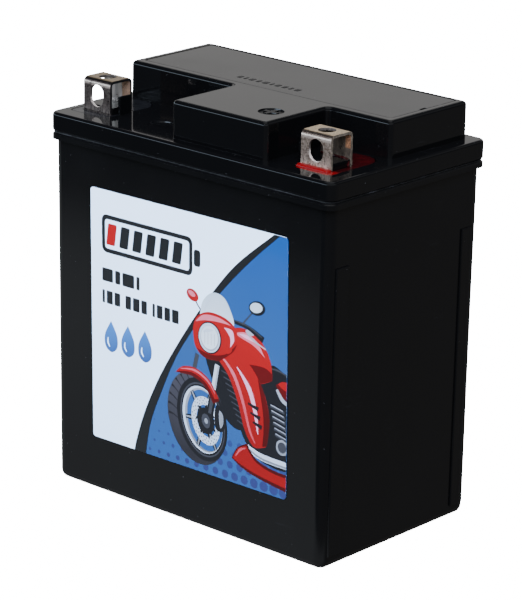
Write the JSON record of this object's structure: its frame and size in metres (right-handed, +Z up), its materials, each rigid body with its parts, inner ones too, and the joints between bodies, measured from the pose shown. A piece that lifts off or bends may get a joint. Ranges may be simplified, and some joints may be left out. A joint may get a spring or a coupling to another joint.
{
  "type": "motorcycle battery",
  "caption": "Sealed black box battery with two bolt-on U-shaped terminals on a stepped lid, relief valves under a flush cover and plates, separators and links in its cells.",
  "frame": {"origin": "centre of the bottom face, where the battery stands in its tray", "axes": "+X along the long side towards the positive terminal, -Y out of the labelled front, +Z up"},
  "size_m": [0.114, 0.071, 0.1303],
  "materials": {
    "black_plastic": "semi-gloss moulded ABS",
    "cover_plastic": "satin moulded ABS",
    "tinned_metal": "dull tin-plated brass strip, stained",
    "lead": "cast lead",
    "negative_plates": "grey spongy lead paste on a lead grid",
    "positive_plates": "brown lead dioxide paste on a lead grid",
    "separator_felt": "white glass felt",
    "valve_rubber": "matte black rubber",
    "red_potting": "glossy red sealing resin",
    "black_potting": "glossy black sealing resin",
    "label_film": "printed plastic film"
  },
  "bodies": {
    "battery": {"case": "black_plastic", "lid": "black_plastic", "vent_cover_plate": "cover_plastic", "negative_terminal": "tinned_metal", "positive_terminal": "tinned_metal", "negative_terminal_seal": "black_potting", "positive_terminal_seal": "red_potting", "negative_post": "lead", "positive_post": "lead", "negative_plate_group_1": "negative_plates", "positive_plate_group_1": "positive_plates", "separator_1": "separator_felt", "negative_plate_group_2": "negative_plates", "positive_plate_group_2": "positive_plates", "separator_2": "separator_felt", "negative_plate_group_3": "negative_plates", "positive_plate_group_3": "positive_plates", "separator_3": "separator_felt", "negative_plate_group_4": "negative_plates", "positive_plate_group_4": "positive_plates", "separator_4": "separator_felt", "negative_plate_group_5": "negative_plates", "positive_plate_group_5": "positive_plates", "separator_5": "separator_felt", "negative_plate_group_6": "negative_plates", "positive_plate_group_6": "positive_plates", "separator_6": "separator_felt", "intercell_link_1": "lead", "intercell_link_2": "lead", "intercell_link_3": "lead", "intercell_link_4": "lead", "intercell_link_5": "lead", "front_label": "label_film"},
    "valve_1": {"valve_cap_1": "valve_rubber"},
    "valve_2": {"valve_cap_2": "valve_rubber"},
    "valve_3": {"valve_cap_3": "valve_rubber"},
    "valve_4": {"valve_cap_4": "valve_rubber"},
    "valve_5": {"valve_cap_5": "valve_rubber"},
    "valve_6": {"valve_cap_6": "valve_rubber"}
  },
  "joints": [
    {"name": "valve_lift_1", "type": "slide", "parent": "battery", "child": "valve_1", "axis": [0, 0, 1], "range_m": [0, 0.0005], "stiffness_N_per_m": 800},
    {"name": "valve_lift_2", "type": "slide", "parent": "battery", "child": "valve_2", "axis": [0, 0, 1], "range_m": [0, 0.0005], "stiffness_N_per_m": 800},
    {"name": "valve_lift_3", "type": "slide", "parent": "battery", "child": "valve_3", "axis": [0, 0, 1], "range_m": [0, 0.0005], "stiffness_N_per_m": 800},
    {"name": "valve_lift_4", "type": "slide", "parent": "battery", "child": "valve_4", "axis": [0, 0, 1], "range_m": [0, 0.0005], "stiffness_N_per_m": 800},
    {"name": "valve_lift_5", "type": "slide", "parent": "battery", "child": "valve_5", "axis": [0, 0, 1], "range_m": [0, 0.0005], "stiffness_N_per_m": 800},
    {"name": "valve_lift_6", "type": "slide", "parent": "battery", "child": "valve_6", "axis": [0, 0, 1], "range_m": [0, 0.0005], "stiffness_N_per_m": 800}
  ]
}
